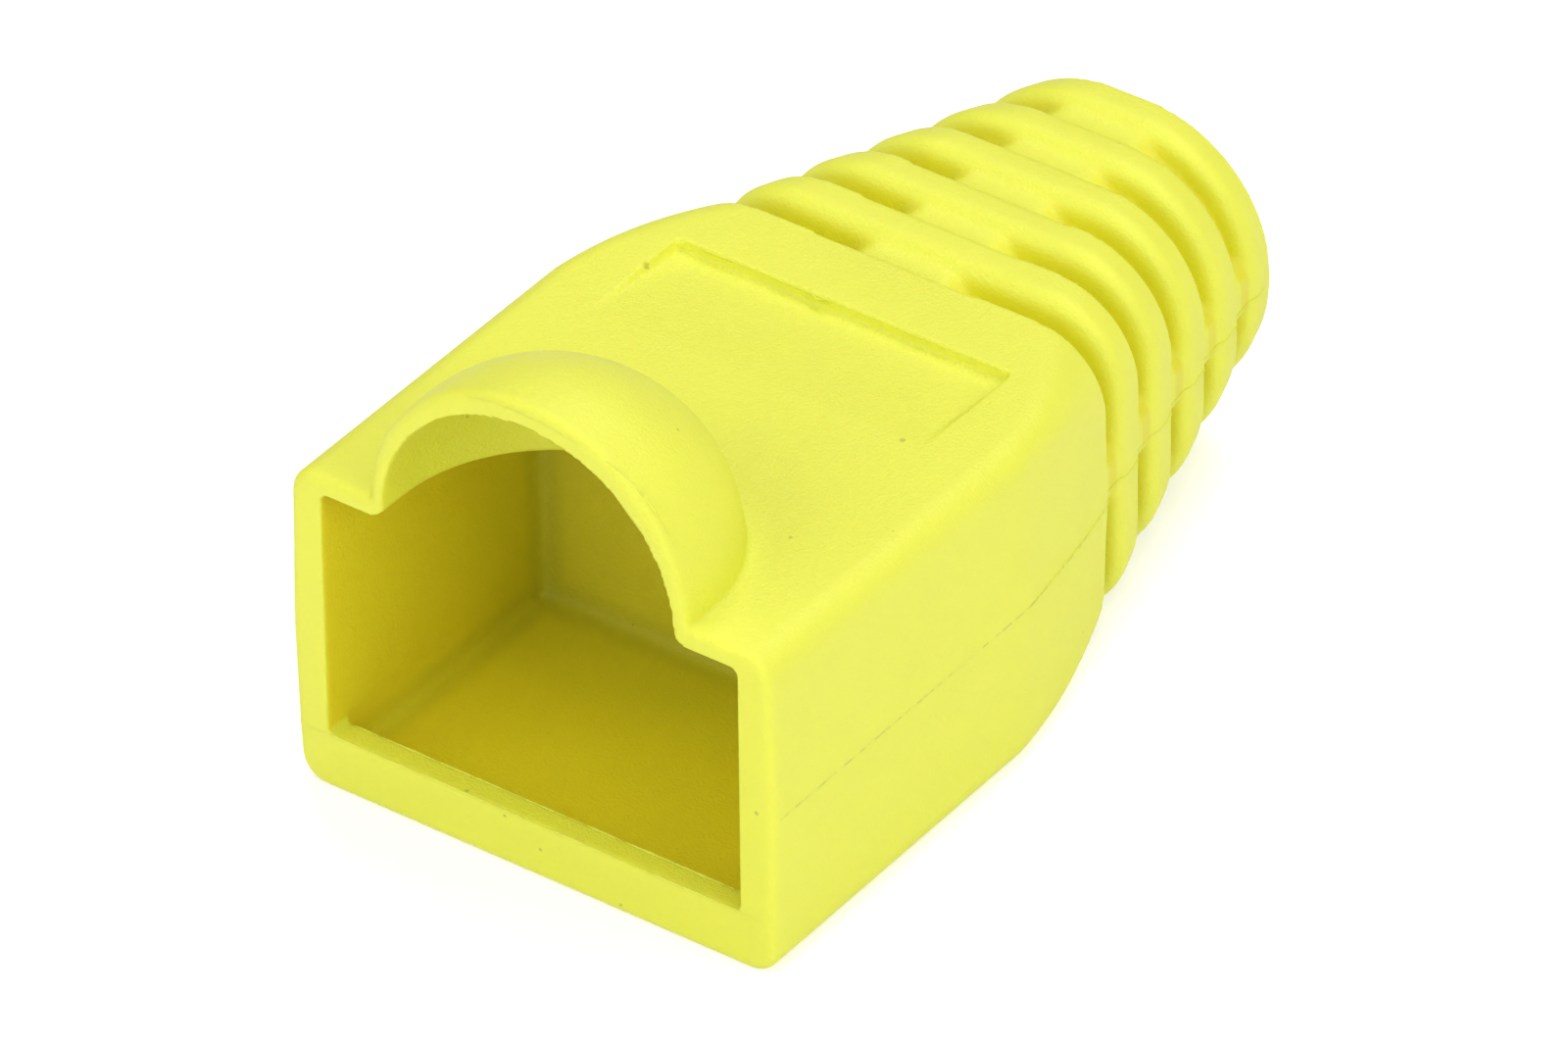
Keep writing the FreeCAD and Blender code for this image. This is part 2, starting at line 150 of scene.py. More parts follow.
def apply_modifier(obj: bpy.types.Object, kind: str, **settings: Any) -> None:
    """Add a modifier, set it and apply it.

    Args:
        obj: The object to change.
        kind: The modifier's type.
        settings: The modifier's settings.
    """
    modifier = obj.modifiers.new(kind.title(), kind)
    for name, value in settings.items():
        setattr(modifier, name, value)
    object_mode_only(obj)
    bpy.ops.object.modifier_apply(modifier=modifier.name)


@dataclass(frozen=True)
class SparkErodedPvc:
    """Flexible PVC out of a spark-eroded mould: matt, fine-grained and a little translucent.

    The eroded steel leaves a fine even grain, so the highlights spread wide.  The
    soft compound lets a little red and green light through, so thin edges stay bright
    and hollows warm a little; the ochre of the hollows is painted shade in the colour.
    """

    name: str = "moulded_pvc_spark_eroded_matt"
    # outside: the pigment and its slow clouds
    body: str = "f0f244"
    cloud: str = "eaed4b"
    cloud_mm: float = 1.7
    # inside the pocket, near its mouth and at its back wall: painted shade.  The deeper yellow,
    #     # darker at the back, stands in for shade and light bounced about in saturated soft
    #     plastic.
    core: str = "f0e224"
    core_rear_shade: str = "ddd62c"
    core_front_mm: float = 5.2
    core_back_mm: float = 8.4
    core_blend_mm: float = 0.12
    # boxes a little larger than the pocket: above the sill, and behind it
    core_boxes_mm: Tuple[Tuple[Point, Point], ...] = (
        ((-6.1, 0.0, 1.68), (6.1, 8.7, 8.70)), ((-6.1, 0.64, 0.40), (6.1, 8.7, 8.70)))
    # the pocket's walls, with the mouth left open, for the shade in its corners
    walls_low_mm: Point = (-5.9, -12.0, 0.62)
    walls_high_mm: Point = (5.9, 8.4, 8.9)
    corner_shade: Colour = (0.84, 0.86, 0.80, 1.0)
    corner_reach_mm: float = 0.85
    corner_full_mm: float = 0.22
    # the foot of each rib's front, where the same bounced light gathers
    slot_shade: Colour = (0.97, 0.89, 0.42, 1.0)
    neck_mm: float = 14.57
    slot_pitch_mm: float = 1.946
    slot_middle_mm: float = 0.64
    slot_full_mm: float = 0.12
    slot_fade_mm: float = 0.27
    web_mm: float = 0.8
    web_fade_mm: float = 0.9
    bore_height_mm: float = 4.5
    bore_clear_mm: float = 2.9
    # soft PVC: a spark-eroded face spreads its highlight, and thin edges glow a little
    roughness: float = 0.5
    ior: float = 1.53
    subsurface: float = 0.22
    subsurface_radius: Tuple[float, float, float] = (1.0, 0.62, 0.12)
    subsurface_depth_mm: float = 0.3
    # real spark-eroded grain is about 0.03 mm, and this is drawn coarser so that it shows
    grain_mm: float = 0.09
    grain_height_mm: float = 0.032
    ripple_mm: float = 1.5
    ripple_height_mm: float = 0.012
    # rare specks, in a share of the cells of a Voronoi pattern
    dirt: str = "5d5a22"
    speck_pitch_mm: float = 1.6
    speck_radius: float = 0.022
    speck_chance: float = 0.45
    speck_strength: float = 0.25
    # a darker line along the parting line, broken into dashes by noise
    parting_mm: float = 4.55
    parting_start_mm: float = 0.25
    parting_width_mm: float = 0.045
    parting_strength: float = 0.30
    parting_dash_mm: float = 0.22
    parting_noise: Tuple[float, float] = (0.44, 0.62)
    parting_clear_mm: float = 0.2
    # single dirt marks: place from the middle of the mouth's lower edge, and radius
    mark_strength: float = 0.34
    mark_grain_mm: float = 0.06
    mark_ragged: float = 1.2
    mark_edge: float = 0.6
    marks_mm: Tuple[Tuple[float, float, float, float], ...] = (
        (-3.48, 2.48, 10.26, 0.05),
        (-0.80, 0.01, 1.47, 0.045),
        (0.20, 0.03, 0.91, 0.05),
        (2.46, 0.05, 0.28, 0.05),
        (-1.96, 0.11, 1.62, 0.055),
        (2.49, 2.54, 12.32, 0.045),
        (4.32, 4.31, 9.00, 0.05),
        (-4.76, 11.19, 8.95, 0.10),
        (4.23, 8.87, 9.00, 0.08),
        (0.87, 17.24, 8.60, 0.06),
        (6.41, 0.00, 4.68, 0.06),
    )

    def build(self) -> bpy.types.Material:
        """Make the material.

        Returns:
            The finished material.
        """
        material = bpy.data.materials.new(self.name)
        material.use_nodes = True
        tree = material.node_tree
        tree.nodes.clear()
        place = add_node(tree, "ShaderNodeTexCoord").outputs["Object"]
        colour = self._colour(tree, place)
        normal = self._relief(tree, place)
        shader = add_node(tree, "ShaderNodeBsdfPrincipled", {
            "Roughness": self.roughness,
            "IOR": self.ior,
            "Subsurface Weight": self.subsurface,
            "Subsurface Radius": self.subsurface_radius,
            "Subsurface Scale": self.subsurface_depth_mm * MM,
        }, {"Base Color": colour, "Normal": normal})
        add_node(tree, "ShaderNodeOutputMaterial", links={"Surface": shader.outputs["BSDF"]})
        return material

    def _colour(self, tree: bpy.types.NodeTree, place: Any) -> Any:
        """Clouded pigment, painted shade in the pocket and slots, faint specks and the marks of
        handling.

        Args:
            tree: The node tree.
            place: The coordinate socket.

        Returns:
            The colour socket.
        """
        clouds = add_node(tree, "ShaderNodeTexNoise", {
            "Scale": 1.0 / (self.cloud_mm * MM), "Detail": 4.0, "Roughness": 0.6},
            {"Vector": place})
        mixed = add_node(tree, "ShaderNodeMix", {"data_type": "RGBA"}, {
            "Factor": clouds.outputs["Fac"]})
        mixed.inputs[MIX_A].default_value = linear(self.body)
        mixed.inputs[MIX_B].default_value = linear(self.cloud)
        # painted shade on the pocket's walls: a deeper yellow, darker towards the back wall
        walls = add_node(tree, "ShaderNodeMix", {"data_type": "RGBA"}, {
            "Factor": self._depth(tree, place)})
        walls.inputs[MIX_A].default_value = linear(self.core)
        walls.inputs[MIX_B].default_value = linear(self.core_rear_shade)
        inside = add_node(tree, "ShaderNodeMix", {"data_type": "RGBA"}, {
            "Factor": self._pocket(tree, place), MIX_A: mixed.outputs[MIX_RESULT],
            MIX_B: walls.outputs[MIX_RESULT]})
        slots = add_node(tree, "ShaderNodeMix", {"data_type": "RGBA", "blend_type": "MULTIPLY"}, {
            "Factor": self._slots(tree, place), MIX_A: inside.outputs[MIX_RESULT]})
        slots.inputs[MIX_B].default_value = self.slot_shade
        corners = add_node(tree, "ShaderNodeMix", {"data_type": "RGBA", "blend_type": "MULTIPLY"}, {
            "Factor": self._corners(tree, place), MIX_A: slots.outputs[MIX_RESULT]})
        corners.inputs[MIX_B].default_value = self.corner_shade
        final = add_node(tree, "ShaderNodeMix", {"data_type": "RGBA"}, {
            "Factor": self._dirt(tree, place), MIX_A: corners.outputs[MIX_RESULT]})
        final.inputs[MIX_B].default_value = linear(self.dirt)
        return final.outputs[MIX_RESULT]

    def _slots(self, tree: bpy.types.NodeTree, place: Any) -> Any:
        """The foot of each rib's front, in the slots of the relief, which is a deeper yellow.

        Args:
            tree: The node tree.
            place: The coordinate socket.

        Returns:
            A socket from 0 on the ribs and webs to 1 on the foot of a slot.
        """
        datum = mouth_datum()
        moved = add_node(tree, "ShaderNodeVectorMath", {"operation": "SUBTRACT", 1: Vector((
            datum.x, datum.y + self.neck_mm * MM, datum.z + self.bore_height_mm * MM))},
            {0: place})
        parts = add_node(tree, "ShaderNodeSeparateXYZ", links={0: moved.outputs[0]}).outputs
        turns = add_node(tree, "ShaderNodeMath", {
            "operation": "MULTIPLY", 1: 1.0 / (self.slot_pitch_mm * MM)}, {0: parts[1]})
        within = add_node(tree, "ShaderNodeMath", {"operation": "FRACT"}, {0: turns.outputs[0]})
        away = add_node(tree, "ShaderNodeMath", {
            "operation": "SUBTRACT", 1: self.slot_middle_mm / self.slot_pitch_mm},
            {0: within.outputs[0]})
        away = add_node(tree, "ShaderNodeMath", {"operation": "ABSOLUTE"}, {0: away.outputs[0]})
        in_slot = add_node(tree, "ShaderNodeMapRange", {
            "From Min": self.slot_full_mm / self.slot_pitch_mm,
            "From Max": self.slot_fade_mm / self.slot_pitch_mm,
            "To Min": 1.0, "To Max": 0.0}, {"Value": away.outputs[0]}).outputs["Result"]
        behind = add_node(tree, "ShaderNodeMath", {"operation": "GREATER_THAN", 1: 0.0},
                          {0: parts[1]}).outputs[0]
        width = add_node(tree, "ShaderNodeMath", {"operation": "ABSOLUTE"}, {0: parts[0]})
        off_web = add_node(tree, "ShaderNodeMapRange", {
            "interpolation_type": "SMOOTHSTEP", "From Min": self.web_mm * MM,
            "From Max": (self.web_mm + self.web_fade_mm) * MM},
            {"Value": width.outputs[0]}).outputs["Result"]
        radius = add_node(tree, "ShaderNodeVectorMath", {
            "operation": "MULTIPLY", 1: (1.0, 0.0, 1.0)}, {0: moved.outputs[0]})
        radius = add_node(tree, "ShaderNodeVectorMath", {"operation": "LENGTH"},
                          {0: radius.outputs[0]})
        off_bore = add_node(tree, "ShaderNodeMath", {
            "operation": "GREATER_THAN", 1: self.bore_clear_mm * MM},
            {0: radius.outputs["Value"]}).outputs[0]
        strength = in_slot
        for mask in (behind, off_web, off_bore):
            strength = add_node(tree, "ShaderNodeMath", {"operation": "MULTIPLY"},
                                {0: strength, 1: mask}).outputs[0]
        return strength

    def _corners(self, tree: bpy.types.NodeTree, place: Any) -> Any:
        """Where two walls of the pocket meet, which is a little darker.

        Args:
            tree: The node tree.
            place: The coordinate socket.

        Returns:
            A socket from 0 on the flat of a wall to 1 in a corner.
        """
        low = mouth_datum() + Vector(self.walls_low_mm) * MM
        high = mouth_datum() + Vector(self.walls_high_mm) * MM
        moved = add_node(tree, "ShaderNodeVectorMath", {
            "operation": "SUBTRACT", 1: (low + high) / 2}, {0: place})
        plain = add_node(tree, "ShaderNodeVectorMath", {"operation": "ABSOLUTE"},
                         {0: moved.outputs[0]})
        past = add_node(tree, "ShaderNodeVectorMath", {
            "operation": "SUBTRACT", 1: (high - low) / 2}, {0: plain.outputs[0]})
        parts = add_node(tree, "ShaderNodeSeparateXYZ", links={0: past.outputs[0]}).outputs
        pairs = [add_node(tree, "ShaderNodeMath", {"operation": "MINIMUM"},
                          {0: parts[first], 1: parts[second]}).outputs[0]
                 for first, second in ((0, 1), (1, 2), (0, 2))]
        second = add_node(tree, "ShaderNodeMath", {"operation": "MAXIMUM"},
                          {0: pairs[0], 1: pairs[1]}).outputs[0]
        second = add_node(tree, "ShaderNodeMath", {"operation": "MAXIMUM"},
                          {0: second, 1: pairs[2]}).outputs[0]
        near = add_node(tree, "ShaderNodeMapRange", {
            "interpolation_type": "SMOOTHSTEP", "From Min": -self.corner_reach_mm * MM,
            "From Max": -self.corner_full_mm * MM}, {"Value": second})
        return add_node(tree, "ShaderNodeMath", {"operation": "MULTIPLY"}, {
            0: near.outputs["Result"], 1: self._pocket(tree, place)}).outputs[0]

    def _depth(self, tree: bpy.types.NodeTree, place: Any) -> Any:
        """How deep in the pocket a point lies.

        Args:
            tree: The node tree.
            place: The coordinate socket.

        Returns:
            A socket from 0 near the mouth to 1 at the back wall.
        """
        parts = add_node(tree, "ShaderNodeSeparateXYZ", links={0: place})
        front = mouth_datum().y
        return add_node(tree, "ShaderNodeMapRange", {
            "From Min": front + self.core_front_mm * MM,
            "From Max": front + self.core_back_mm * MM}, {"Value": parts.outputs[1]}
        ).outputs["Result"]

    def _pocket(self, tree: bpy.types.NodeTree, place: Any) -> Any:
        """The inside of the pocket, behind and above the sill.

        Args:
            tree: The node tree.
            place: The coordinate socket.

        Returns:
            A socket from 0 outside to 1 on the pocket's walls.
        """
        masks = []
        for low_mm, high_mm in self.core_boxes_mm:
            low = mouth_datum() + Vector(low_mm) * MM
            high = mouth_datum() + Vector(high_mm) * MM
            moved = add_node(tree, "ShaderNodeVectorMath", {
                "operation": "SUBTRACT", 1: (low + high) / 2}, {0: place})
            plain = add_node(tree, "ShaderNodeVectorMath", {"operation": "ABSOLUTE"},
                             {0: moved.outputs[0]})
            past = add_node(tree, "ShaderNodeVectorMath", {
                "operation": "SUBTRACT", 1: (high - low) / 2}, {0: plain.outputs[0]})
            parts = add_node(tree, "ShaderNodeSeparateXYZ", links={0: past.outputs[0]})
            widest = add_node(tree, "ShaderNodeMath", {"operation": "MAXIMUM"},
                              {0: parts.outputs[0], 1: parts.outputs[1]})
            widest = add_node(tree, "ShaderNodeMath", {"operation": "MAXIMUM"},
                              {0: widest.outputs[0], 1: parts.outputs[2]})
            masks.append(add_node(tree, "ShaderNodeMapRange", {
                "From Min": -self.core_blend_mm * MM, "From Max": 0.0,
                "To Min": 1.0, "To Max": 0.0}, {"Value": widest.outputs[0]}).outputs["Result"])
        return add_node(tree, "ShaderNodeMath", {"operation": "MAXIMUM"},
                        {0: masks[0], 1: masks[1]}).outputs[0]

    def _dirt(self, tree: bpy.types.NodeTree, place: Any) -> Any:
        """Strength of the darkening: rare specks of dirt all over, single marks and the darker
        parting line.

        Args:
            tree: The node tree.
            place: The coordinate socket.

        Returns:
            A socket from 0 to 1.
        """
        cells = add_node(tree, "ShaderNodeTexVoronoi", {
            "Scale": 1.0 / (self.speck_pitch_mm * MM), "Randomness": 1.0}, {"Vector": place})
        near = add_node(tree, "ShaderNodeMath", {"operation": "LESS_THAN", 1: self.speck_radius},
                        {0: cells.outputs["Distance"]})
        chance = add_node(tree, "ShaderNodeSeparateColor", links={0: cells.outputs["Color"]})
        rare = add_node(tree, "ShaderNodeMath",
                        {"operation": "GREATER_THAN", 1: 1.0 - self.speck_chance},
                        {0: chance.outputs[0]})
        speck = add_node(tree, "ShaderNodeMath", {"operation": "MULTIPLY"},
                         {0: near.outputs[0], 1: rare.outputs[0]})
        dirt = add_node(tree, "ShaderNodeMath", {
            "operation": "MULTIPLY", 1: self.speck_strength}, {0: speck.outputs[0]}).outputs[0]
        dirt = add_node(tree, "ShaderNodeMath", {"operation": "MAXIMUM"},
                        {0: dirt, 1: self._parting(tree, place)}).outputs[0]
        smudge = add_node(tree, "ShaderNodeTexNoise", {
            "Scale": 1.0 / (self.mark_grain_mm * MM), "Detail": 2.0}, {"Vector": place}
        ).outputs["Fac"]
        datum = mouth_datum()
        for x, y, z, radius in self.marks_mm:
            far = add_node(tree, "ShaderNodeVectorMath", {"operation": "DISTANCE"}, {0: place})
            far.inputs[1].default_value = datum + Vector((x, y, z)) * MM
            ragged = add_node(tree, "ShaderNodeMath", {
                "operation": "MULTIPLY_ADD", 1: -self.mark_ragged * radius * MM},
                {0: smudge, 2: far.outputs["Value"]})
            mark = add_node(tree, "ShaderNodeMapRange", {
                "From Min": 0.0, "From Max": self.mark_edge * radius * MM,
                "To Min": self.mark_strength, "To Max": 0.0}, {"Value": ragged.outputs[0]})
            dirt = add_node(tree, "ShaderNodeMath", {"operation": "MAXIMUM"},
                            {0: dirt, 1: mark.outputs["Result"]}).outputs[0]
        return dirt

    def _parting(self, tree: bpy.types.NodeTree, place: Any) -> Any:
        """Broken darker line along the parting line on the outside.

        Args:
            tree: The node tree.
            place: The coordinate socket.

        Returns:
            A socket from 0 to the line's strength.
        """
        datum = mouth_datum()
        moved = add_node(tree, "ShaderNodeVectorMath", {"operation": "SUBTRACT", 1: Vector((
            datum.x, 0.0, datum.z + self.parting_mm * MM))}, {0: place})
        parts = add_node(tree, "ShaderNodeSeparateXYZ", links={0: moved.outputs[0]}).outputs
        height = add_node(tree, "ShaderNodeMath", {"operation": "ABSOLUTE"}, {0: parts[2]})
        width = add_node(tree, "ShaderNodeMath", {"operation": "ABSOLUTE"}, {0: parts[0]})
        outside = add_node(tree, "ShaderNodeMath", {
            "operation": "GREATER_THAN",
            1: (self.walls_high_mm[0] + self.parting_clear_mm) * MM},
            {0: width.outputs[0]})
        line = add_node(tree, "ShaderNodeMapRange", {
            "From Min": 0.0, "From Max": self.parting_width_mm * MM,
            "To Min": 1.0, "To Max": 0.0}, {"Value": height.outputs[0]})
        broken = add_node(tree, "ShaderNodeTexNoise", {
            "Scale": 1.0 / (self.parting_dash_mm * MM), "Detail": 3.0}, {"Vector": place})
        dots = add_node(tree, "ShaderNodeMapRange", {
            "From Min": self.parting_noise[0], "From Max": self.parting_noise[1],
            "To Min": 0.0, "To Max": self.parting_strength},
            {"Value": broken.outputs["Fac"]})
        strength = add_node(tree, "ShaderNodeMath", {"operation": "MULTIPLY"},
                            {0: line.outputs["Result"], 1: dots.outputs["Result"]})
        beside = add_node(tree, "ShaderNodeMath", {
            "operation": "GREATER_THAN", 1: datum.y + self.parting_start_mm * MM}, {0: parts[1]})
        strength = add_node(tree, "ShaderNodeMath", {"operation": "MULTIPLY"},
                            {0: strength.outputs[0], 1: beside.outputs[0]})
        return add_node(tree, "ShaderNodeMath", {"operation": "MULTIPLY"},
                        {0: strength.outputs[0], 1: outside.outputs[0]}).outputs[0]

    def _relief(self, tree: bpy.types.NodeTree, place: Any) -> Any:
        """Spark-eroded grain over the slow ripple of a thick soft moulding.

        Args:
            tree: The node tree.
            place: The coordinate socket.

        Returns:
            The normal socket.
        """
        ripple = add_node(tree, "ShaderNodeTexNoise", {
            "Scale": 1.0 / (self.ripple_mm * MM), "Detail": 2.0}, {"Vector": place})
        slow = add_node(tree, "ShaderNodeBump", {
            "Strength": 1.0, "Distance": self.ripple_height_mm * MM},
            {"Height": ripple.outputs["Fac"]})
        grain = add_node(tree, "ShaderNodeTexNoise", {
            "Scale": 1.0 / (self.grain_mm * MM), "Detail": 4.0, "Roughness": 0.65},
            {"Vector": place})
        fine = add_node(tree, "ShaderNodeBump", {
            "Strength": 1.0, "Distance": self.grain_height_mm * MM},
            {"Height": grain.outputs["Fac"], "Normal": slow.outputs["Normal"]})
        return fine.outputs["Normal"]


@dataclass(frozen=True)
class StudioPaper:
    """Plain white paper sweep that glows a little where the camera sees it, as a light table does,
    so shadows stay faint.
    """

    name: str = "studio_paper_white"
    colour: str = "f7f7f7"
    glow: float = 0.35
    roughness: float = 0.9
    specular: float = 0.2

    def build(self) -> bpy.types.Material:
        """Make the material.

        Returns:
            The finished material.
        """
        material = bpy.data.materials.new(self.name)
        material.use_nodes = True
        tree = material.node_tree
        shader = tree.nodes["Principled BSDF"]
        shader.inputs["Base Color"].default_value = linear(self.colour)
        shader.inputs["Roughness"].default_value = self.roughness
        shader.inputs["Specular IOR Level"].default_value = self.specular
        ray = add_node(tree, "ShaderNodeLightPath")
        glow = add_node(tree, "ShaderNodeMath", {"operation": "MULTIPLY", 1: self.glow},
                        {0: ray.outputs["Is Camera Ray"]})
        shader.inputs["Emission Color"].default_value = (1.0, 1.0, 1.0, 1.0)
        tree.links.new(glow.outputs[0], shader.inputs["Emission Strength"])
        return material


@dataclass(frozen=True)
class SofterPatch:
    """A stretch of the moulding whose edges are rounder than the rest."""

    name: str
    low_mm: Point
    high_mm: Point
    passes: int
    factor: float = 0.5

    def apply(self, piece: bpy.types.Object, datum: Vector) -> None:
        """Smooth the vertices inside the patch.

        Args:
            piece: The moulding.
            datum: The point the patch is measured from.
        """
        low = np.array(datum + Vector(self.low_mm) * MM)
        high = np.array(datum + Vector(self.high_mm) * MM)
        places = vertex_places(piece)
        inside = np.nonzero(((places >= low) & (places <= high)).all(axis=1))[0]
        group = piece.vertex_groups.new(name=self.name)
        group.add([int(number) for number in inside], 1.0, "REPLACE")
        apply_modifier(piece, "SMOOTH", factor=self.factor, iterations=self.passes,
                       vertex_group=self.name)
        piece.vertex_groups.remove(piece.vertex_groups[self.name])


@dataclass(frozen=True)
class SoftRelief:
    """The slotted relief as a soft moulding takes it off its core: slots open, ribs lifted.

    Every slot opens towards its rear rib by moving the points along Y only, and the
    ribs rise a little towards the cable end.
    """

    neck_mm: float = 14.57
    end_mm: float = 24.3
    slots: int = 5
    # stations in one pitch as the part has them and as the soft moulding shows them
    as_built_mm: Tuple[float, ...] = (0.0, 0.5, 1.1, 1.946)
    as_shown_mm: Tuple[float, ...] = (0.0, 0.74, 1.26, 1.946)
    lift_mm: float = 0.1
    lift_length_mm: float = 2.5
    # keeps a point on a slot's front face in that slot, and on the neck out of the relief
    whole_slot: float = 1e-6
    neck_clear_mm: float = 1e-4

    def apply(self, piece: bpy.types.Object) -> None:
        """Move the vertices of the relief.

        Args:
            piece: The copy of the CAD node.
        """
        datum = mouth_datum()
        places = vertex_places(piece).astype(np.float64)
        station = (places[:, 1] - datum.y) / MM
        pitch = (self.end_mm - self.neck_mm) / self.slots
        along = np.clip(station - self.neck_mm, 0.0, self.end_mm - self.neck_mm)
        slot = np.minimum(np.floor(along / pitch + self.whole_slot), self.slots - 1)
        within = np.interp(along - slot * pitch, self.as_built_mm, self.as_shown_mm)
        moved = self.neck_mm + slot * pitch + np.minimum(within, pitch)
        relief = station > self.neck_mm + self.neck_clear_mm
        places[:, 1] = np.where(relief, datum.y + moved * MM, places[:, 1])
        rise = self.lift_mm * np.clip((station - self.neck_mm) / self.lift_length_mm, 0.0, 1.0)
        places[:, 2] += rise * MM
        piece.data.vertices.foreach_set("co", places.astype(np.float32).ravel())
        piece.data.update()


@dataclass
class Moulding:
    """The one-piece boot: the CAD form with the softened edges of a soft moulding."""

    voxel_mm: float = 0.075
    rounding_passes: int = 2
    rounding_factor: float = 0.5
    triangle_budget: int = 170_000
    quick_voxel_mm: float = 0.12
    relief: SoftRelief = field(default_factory=SoftRelief)
    patches: Sequence[SofterPatch] = (
        SofterPatch("relief", (-6.6, 13.9, -0.1), (6.6, 24.4, 9.1), 6),
        SofterPatch("webs", (-2.3, 14.4, 6.5), (2.3, 24.0, 9.2), 26),
        SofterPatch("pocket_rear", (-6.0, 7.5, 0.5), (6.0, 8.6, 8.6), 90),
        SofterPatch("pocket_foot_left", (-6.0, 0.9, 0.55), (-5.0, 8.0, 1.6), 90),
        SofterPatch("pocket_foot_right", (5.0, 0.9, 0.55), (6.0, 8.0, 1.6), 90),
    )

    def build(self, material: bpy.types.Material) -> bpy.types.Object:
        """Copy the CAD node, soften its edges and finish it.

        Args:
            material: The PVC.

        Returns:
            The visible moulding.
        """
        source = frame["nodes"][NODE]
        piece = source.copy()
        piece.data = source.data.copy()
        piece.name = "boot_moulding"
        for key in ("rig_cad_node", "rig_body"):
            if key in piece:
                del piece[key]
        bpy.context.scene.collection.objects.link(piece)
        piece.parent = None
        piece.matrix_world = Matrix.Identity(4)
        object_mode_only(piece)
        bpy.ops.object.mode_set(mode="EDIT")
        bpy.ops.mesh.select_all(action="SELECT")
        bpy.ops.mesh.remove_doubles(threshold=MERGE_M)
        bpy.ops.mesh.normals_make_consistent(inside=False)
        bpy.ops.object.mode_set(mode="OBJECT")
        self.relief.apply(piece)
        voxel = self.voxel_mm
        apply_modifier(piece, "REMESH", mode="VOXEL", voxel_size=voxel * MM, adaptivity=0.0)
        apply_modifier(piece, "SMOOTH", factor=self.rounding_factor,
                       iterations=self.rounding_passes)
        for patch in self.patches:
            patch.apply(piece, mouth_datum())
        faces = sum(len(p.vertices) - 2 for p in piece.data.polygons)
        if faces > self.triangle_budget:
            apply_modifier(piece, "DECIMATE", ratio=self.triangle_budget / faces)
        keep_inside(piece)
        object_mode_only(piece)
        bpy.ops.object.shade_smooth()
        finish(piece, material)
        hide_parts(NODE)
        return piece


@dataclass
class FlashBead:
    """A fine ragged bead of plastic squeezed out where parts of the mould met."""

    name: str
    path_mm: Sequence[Point]
    radius_mm: float
    ragged: float
    step_mm: float = 0.08
    sides: int = 2
    # each end tapers over a few steps from a thin tip
    tip: float = 0.15
    taper_steps: float = 6.0
    # raggedness: a fine and a slow noise, with their sizes and weights
    fine_mm: float = 0.16
    slow_mm: float = 0.9
    fine_weight: float = 1.1
    slow_weight: float = 1.3
    thinnest: float = 0.12

    def build(self, material: bpy.types.Material) -> bpy.types.Object:
        """Make the bead as a closed tube along its path.

        Args:
            material: The PVC.

        Returns:
            The bead.
        """
        points = self._even_points()
        curve = bpy.data.curves.new(self.name, "CURVE")
        curve.dimensions = "3D"
        curve.bevel_depth = self.radius_mm * MM
        curve.bevel_resolution = self.sides
        curve.use_fill_caps = True
        spline = curve.splines.new("POLY")
        spline.points.add(len(points) - 1)
        for number, (knot, place) in enumerate(zip(spline.points, points)):
            knot.co = (*place, 1.0)
            steps_to_end = min(number, len(points) - 1 - number)
            taper = min(1.0, self.tip + steps_to_end / self.taper_steps)
            knot.radius = taper * self._swell(place)
        bead = bpy.data.objects.new(self.name, curve)
        bpy.context.scene.collection.objects.link(bead)
        object_mode_only(bead)
        bpy.ops.object.convert(target="MESH")
        bead = bpy.context.active_object
        bpy.ops.object.mode_set(mode="EDIT")
        bpy.ops.mesh.select_all(action="SELECT")
        bpy.ops.mesh.remove_doubles(threshold=BEAD_MERGE_M)
        bpy.ops.mesh.normals_make_consistent(inside=False)
        bpy.ops.object.mode_set(mode="OBJECT")
        bpy.ops.object.shade_smooth()
        keep_inside(bead)
        finish(bead, material)
        return bead

    def _swell(self, place: Vector) -> float:
        """How thick the bead is at a point, against its plain radius.

        Args:
            place: The point.

        Returns:
            A factor about 1.
        """
        fine = self.fine_weight * noise.noise(place / (self.fine_mm * MM))
        slow = self.slow_weight * noise.noise(place / (self.slow_mm * MM))
        return max(self.thinnest, 1.0 + self.ragged * (fine + slow))

    def _even_points(self) -> List[Vector]:
        """The path in even steps.

        Returns:
            The points in metres.
        """
        datum = mouth_datum()
        corners = [datum + Vector(point) * MM for point in self.path_mm]
        points = [corners[0]]
        for here, after in zip(corners, corners[1:]):
            count = max(1, round((after - here).length / (self.step_mm * MM)))
            points += [here.lerp(after, number / count) for number in range(1, count + 1)]
        return points


def mouth_datum() -> Vector:
    """The point under the middle of the mouth, which the details are measured from.

    Returns:
        The point in metres.
    """
    low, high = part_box(NODE)
    return Vector(((low.x + high.x) / 2, low.y, low.z))


def vertex_places(piece: bpy.types.Object) -> np.ndarray:
    """Every vertex of a mesh.

    Args:
        piece: The object.

    Returns:
        One row of X, Y and Z for each vertex.
    """
    places = np.empty(len(piece.data.vertices) * 3, np.float32)
    piece.data.vertices.foreach_get("co", places)
    return places.reshape(-1, 3)


def keep_inside(piece: bpy.types.Object) -> None:
    """Hold every vertex inside the CAD node's box.

    Args:
        piece: The object to trim.
    """
    low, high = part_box(NODE)
    places = np.clip(vertex_places(piece), np.array(low, np.float32), np.array(high, np.float32))
    piece.data.vertices.foreach_set("co", places.ravel())
    piece.data.update()


def finish(piece: bpy.types.Object, material: bpy.types.Material) -> None:
    """Give a piece its material and the body it rides on.

    Args:
        piece: The finished mesh object.
        material: The PVC.
    """
    piece.data.materials.clear()
    piece.data.materials.append(material)
    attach(piece, BODY)


